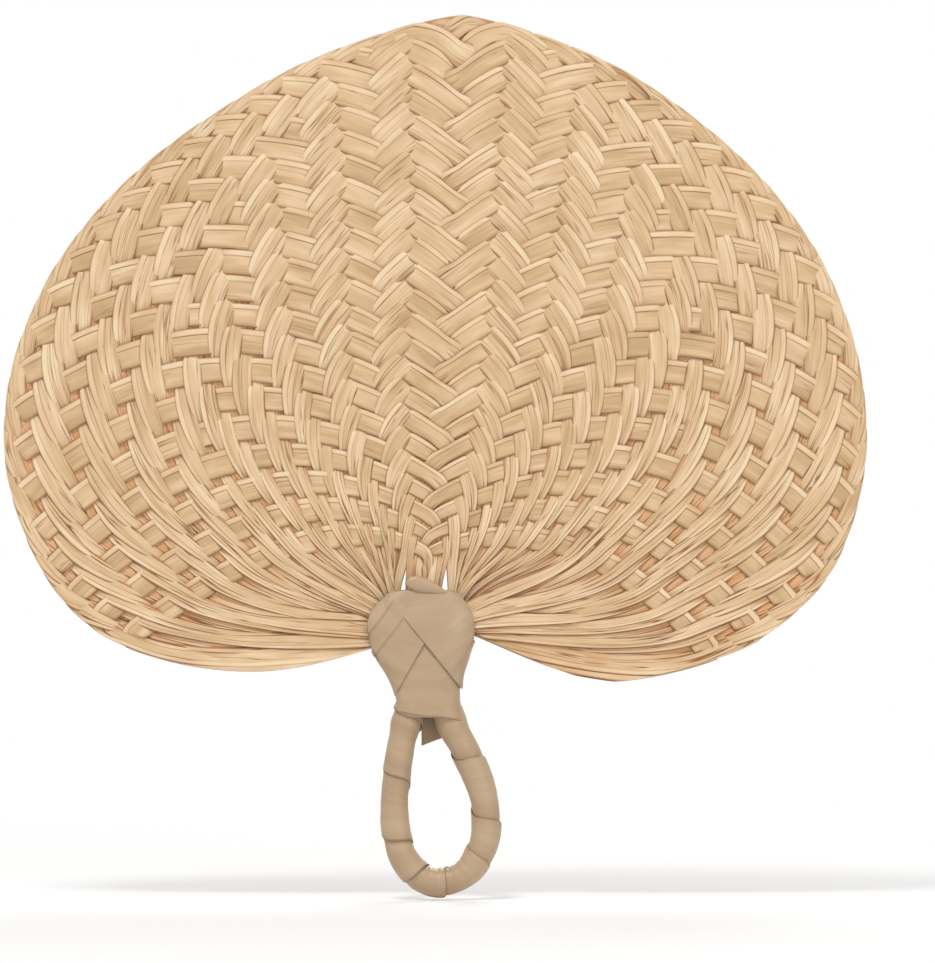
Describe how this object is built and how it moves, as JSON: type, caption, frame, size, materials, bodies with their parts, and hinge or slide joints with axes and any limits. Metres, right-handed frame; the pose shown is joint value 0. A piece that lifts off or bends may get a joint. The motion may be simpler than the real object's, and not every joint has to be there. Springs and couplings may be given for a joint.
{
  "type": "woven cattail hand fan",
  "caption": "Round hand fan woven from folded cattail leaves in a chevron twill, with a lashed neck and a wrapped loop to hold it by.",
  "frame": {"origin": "middle of the hand loop's opening, where a hand holds the fan", "axes": "+Z from the loop up through the neck to the tip of the blade, the blade lies in the XZ plane and its face looks along -Y, +X to the right seen from the face"},
  "size_m": [0.3397, 0.0196, 0.348],
  "materials": {
    "leaf_straw": "dry cattail leaf, pale straw with a fine lengthwise grain, satin",
    "leaf_wrap": "smooth broad leaf, greyer brown, satin"
  },
  "bodies": {
    "root": {"leaf_left_01": "leaf_straw", "leaf_left_02": "leaf_straw", "leaf_left_03": "leaf_straw", "leaf_left_04": "leaf_straw", "leaf_left_05": "leaf_straw", "leaf_left_06": "leaf_straw", "leaf_left_07": "leaf_straw", "leaf_left_08": "leaf_straw", "leaf_left_09": "leaf_straw", "leaf_left_10": "leaf_straw", "leaf_left_11": "leaf_straw", "leaf_left_12": "leaf_straw", "leaf_left_13": "leaf_straw", "leaf_left_14": "leaf_straw", "leaf_left_15": "leaf_straw", "leaf_left_16": "leaf_straw", "leaf_left_17": "leaf_straw", "leaf_left_18": "leaf_straw", "leaf_left_19": "leaf_straw", "leaf_left_20": "leaf_straw", "leaf_left_21": "leaf_straw", "leaf_left_22": "leaf_straw", "leaf_left_23": "leaf_straw", "leaf_left_24": "leaf_straw", "leaf_right_01": "leaf_straw", "leaf_right_02": "leaf_straw", "leaf_right_03": "leaf_straw", "leaf_right_04": "leaf_straw", "leaf_right_05": "leaf_straw", "leaf_right_06": "leaf_straw", "leaf_right_07": "leaf_straw", "leaf_right_08": "leaf_straw", "leaf_right_09": "leaf_straw", "leaf_right_10": "leaf_straw", "leaf_right_11": "leaf_straw", "leaf_right_12": "leaf_straw", "leaf_right_13": "leaf_straw", "leaf_right_14": "leaf_straw", "leaf_right_15": "leaf_straw", "leaf_right_16": "leaf_straw", "leaf_right_17": "leaf_straw", "leaf_right_18": "leaf_straw", "leaf_right_19": "leaf_straw", "leaf_right_20": "leaf_straw", "leaf_right_21": "leaf_straw", "leaf_right_22": "leaf_straw", "leaf_right_23": "leaf_straw", "leaf_right_24": "leaf_straw", "neck_core": "leaf_straw", "loop_core": "leaf_straw", "knot_wrap_under": "leaf_wrap", "knot_wrap_over": "leaf_wrap", "neck_band": "leaf_wrap", "knot_fold": "leaf_wrap", "loop_winding": "leaf_wrap", "wrap_tail": "leaf_wrap"}
  },
  "joints": []
}
